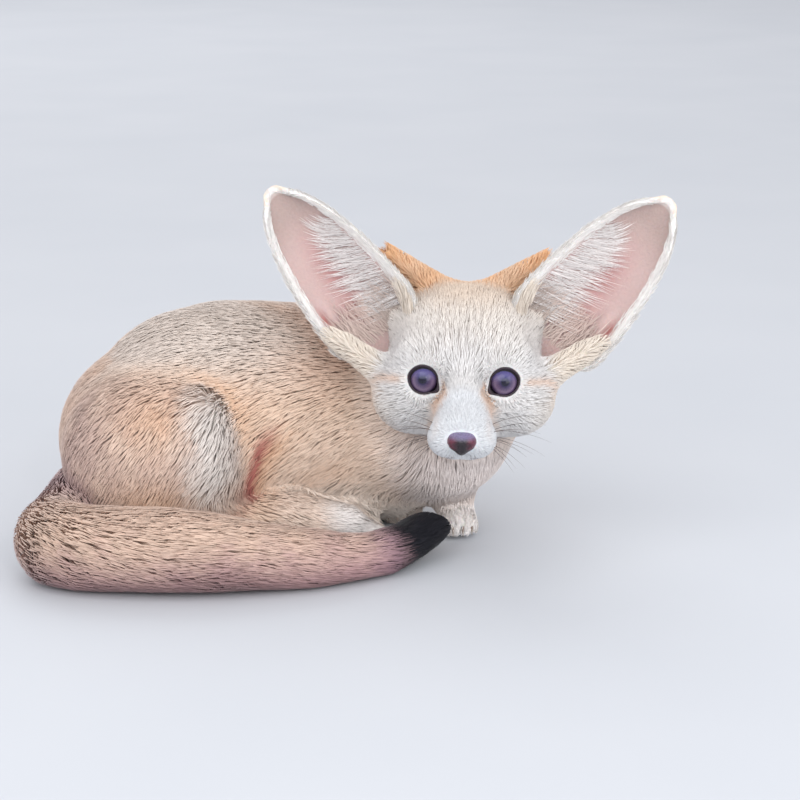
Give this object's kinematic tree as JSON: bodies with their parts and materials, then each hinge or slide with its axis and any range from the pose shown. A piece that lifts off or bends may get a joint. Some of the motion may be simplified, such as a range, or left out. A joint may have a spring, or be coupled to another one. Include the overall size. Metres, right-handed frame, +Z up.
{
  "type": "fennec fox model",
  "caption": "Life-size model of a fennec fox lying crouched with its head raised and turned to the viewer and its bushy tail curled round its flank.",
  "frame": {"origin": "middle of the footprint's bounding box, on the floor", "axes": "+X from the rump towards the chest, +Y away from the viewer whom the face looks at, +Z up"},
  "size_m": [0.278, 0.1616, 0.1583],
  "materials": {
    "sandy_coat": "dense soft fur, sandy buff",
    "pale_coat": "dense soft fur, cream white",
    "tail_tip_coat": "longer fur, near black",
    "ear": "thin skin with short fur, pink inside and cream outside",
    "eye": "wet gloss, very dark brown",
    "nose": "pebbled, slightly moist",
    "claw": "smooth horn"
  },
  "bodies": {
    "root": {"claw_forepaw_left_1": "claw", "claw_forepaw_left_2": "claw", "claw_forepaw_left_3": "claw", "claw_forepaw_left_4": "claw", "claw_forepaw_right_1": "claw", "claw_forepaw_right_2": "claw", "claw_forepaw_right_3": "claw", "claw_forepaw_right_4": "claw", "claw_hindpaw_left_1": "claw", "claw_hindpaw_left_2": "claw", "claw_hindpaw_left_3": "claw", "claw_hindpaw_left_4": "claw", "claw_hindpaw_right_1": "claw", "claw_hindpaw_right_2": "claw", "claw_hindpaw_right_3": "claw", "claw_hindpaw_right_4": "claw", "ear_left": "ear", "ear_right": "ear", "eye_left": "eye", "eye_right": "eye", "foreleg_left": "pale_coat", "foreleg_right": "pale_coat", "forepaw_left": "pale_coat", "forepaw_right": "pale_coat", "head": "pale_coat", "hindleg_left": "sandy_coat", "hindleg_right": "sandy_coat", "hindpaw_left": "pale_coat", "hindpaw_right": "pale_coat", "neck": "pale_coat", "nose": "nose", "tail": "sandy_coat", "tail_tip": "tail_tip_coat", "trunk": "sandy_coat"}
  },
  "joints": []
}
